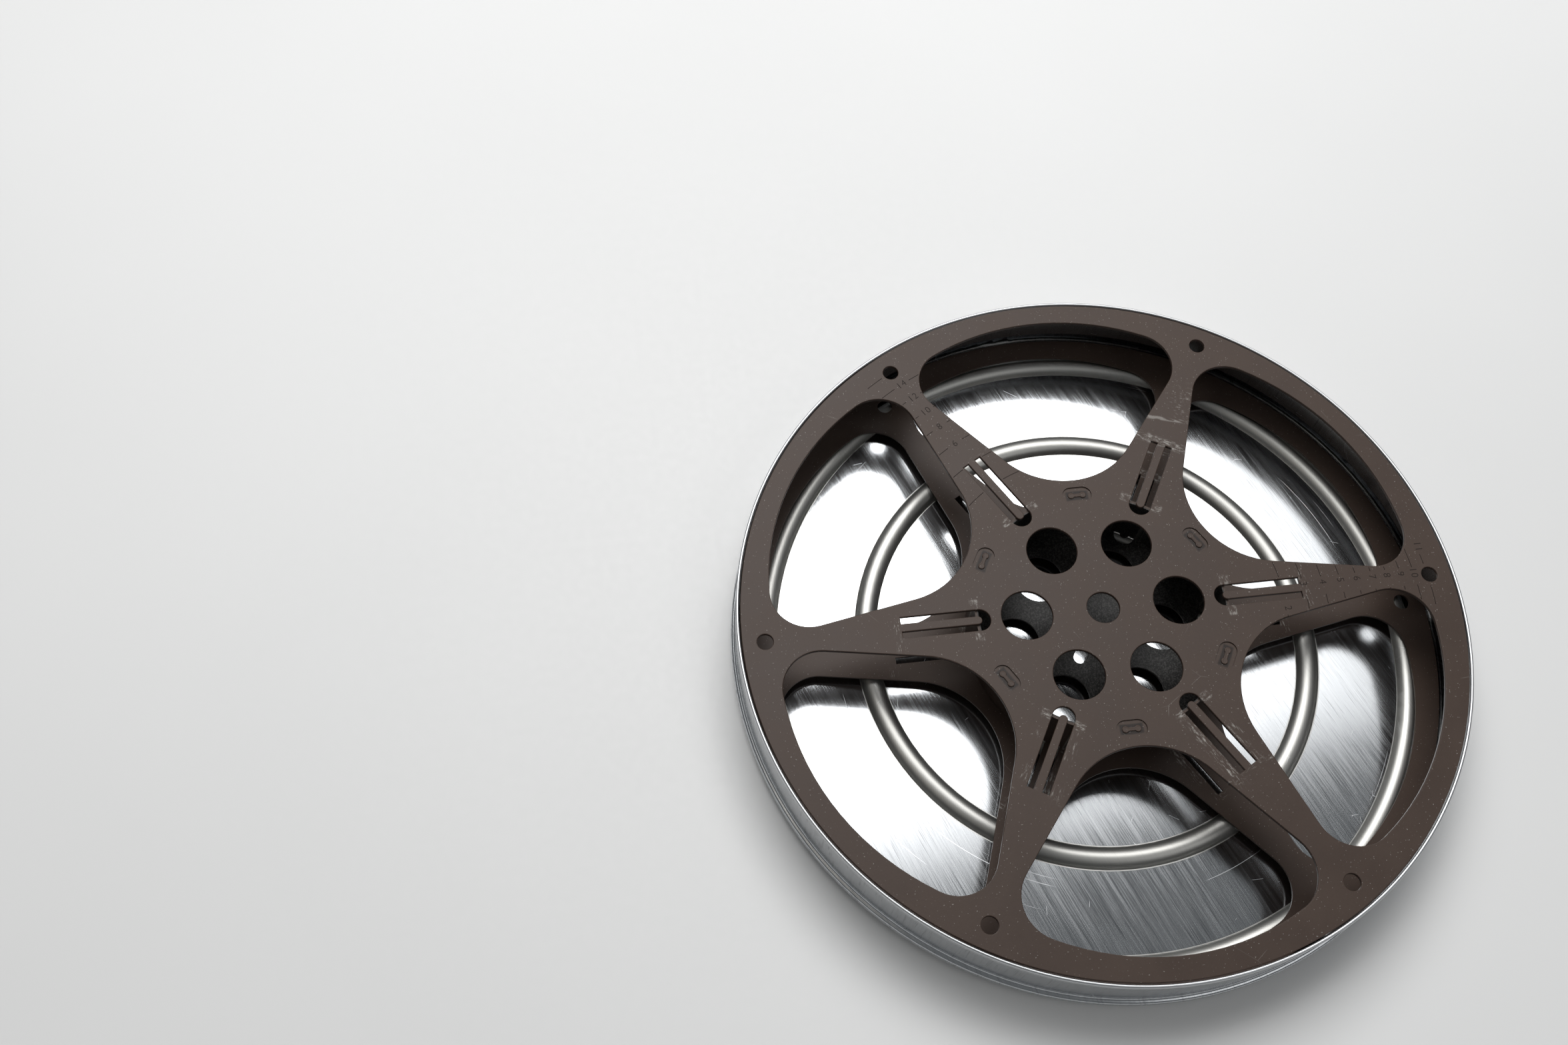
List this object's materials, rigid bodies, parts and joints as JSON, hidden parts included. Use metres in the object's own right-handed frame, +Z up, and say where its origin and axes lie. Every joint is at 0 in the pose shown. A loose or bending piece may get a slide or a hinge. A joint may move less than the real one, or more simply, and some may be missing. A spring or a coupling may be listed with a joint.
{
  "type": "cine film reel in can base",
  "caption": "Spoked sheet-steel film reel with staked hub drum, lying in a round beaded storage-can base it lifts out of.",
  "frame": {"origin": "centre of the can base's underside, where it stands", "axes": "+Z up along the reel's and the can's common axis; +X along one spoke of the reel"},
  "size_m": [0.1824, 0.1824, 0.0208],
  "materials": {
    "enamel": "satin brown stoved enamel",
    "can_steel": "polished inside, scratched"
  },
  "bodies": {
    "can": {"can_base": "can_steel"},
    "reel": {"front_flange": "enamel", "back_flange": "enamel", "hub_drum": "enamel"}
  },
  "joints": [
    {"name": "reel_lift", "type": "slide", "parent": "can", "child": "reel", "axis": [0, 0, 1], "range_m": [0, 0.03]}
  ]
}
